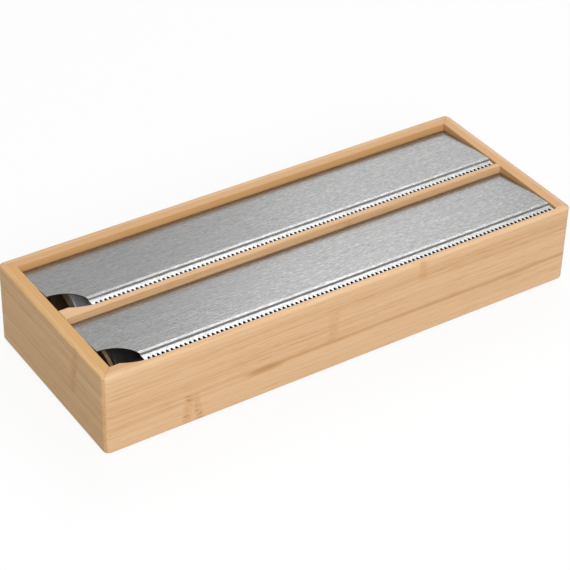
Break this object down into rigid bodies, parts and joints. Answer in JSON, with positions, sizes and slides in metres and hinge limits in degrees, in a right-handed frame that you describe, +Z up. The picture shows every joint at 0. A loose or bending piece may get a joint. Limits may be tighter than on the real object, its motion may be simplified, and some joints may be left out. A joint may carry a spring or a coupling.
{
  "type": "cling film dispenser",
  "caption": "Low bamboo box with two long bays, each holding a roll under a hinged brushed steel lid whose serrated front edge tears the film.",
  "frame": {"origin": "middle of the box in plan, on the surface that its pads stand on", "axes": "+X along the box to its right end, -Y to the front board, +Z up"},
  "size_m": [0.35, 0.137, 0.0585],
  "materials": {
    "bamboo": "satin lacquer",
    "brushed_steel": "brushed",
    "screw_steel": "plain",
    "cardboard": "matte",
    "foil": "bright",
    "cling_film": "gloss",
    "pad_rubber": "matte"
  },
  "bodies": {
    "box": {"front_panel": "bamboo", "back_panel": "bamboo", "left_end_panel": "bamboo", "right_end_panel": "bamboo", "divider": "bamboo", "base_panel": "bamboo", "rear_left_hinge_screw": "screw_steel", "rear_right_hinge_screw": "screw_steel", "front_left_hinge_screw": "screw_steel", "front_right_hinge_screw": "screw_steel", "front_left_pad": "pad_rubber", "front_right_pad": "pad_rubber", "rear_left_pad": "pad_rubber", "rear_right_pad": "pad_rubber"},
    "rear_lid": {"rear_lid": "brushed_steel"},
    "front_lid": {"front_lid": "brushed_steel"},
    "rear_roll": {"rear_core": "cardboard", "rear_foil_winding": "foil"},
    "front_roll": {"front_core": "cardboard", "front_film_winding": "cling_film"}
  },
  "joints": [
    {"name": "rear_lid_hinge", "type": "hinge", "parent": "box", "child": "rear_lid", "pos_m": [0, 0.0535, 0.05066], "axis": [-1, 0, 0], "range_deg": [0, 93]},
    {"name": "front_lid_hinge", "type": "hinge", "parent": "box", "child": "front_lid", "pos_m": [0, -0.01025, 0.05066], "axis": [-1, 0, 0], "range_deg": [0, 93]},
    {"name": "rear_roll_spin", "type": "hinge", "parent": "box", "child": "rear_roll", "pos_m": [0, 0.0379, 0.0271], "axis": [1, 0, 0], "continuous": true},
    {"name": "front_roll_spin", "type": "hinge", "parent": "box", "child": "front_roll", "pos_m": [0, -0.02535, 0.0266], "axis": [1, 0, 0], "continuous": true}
  ]
}
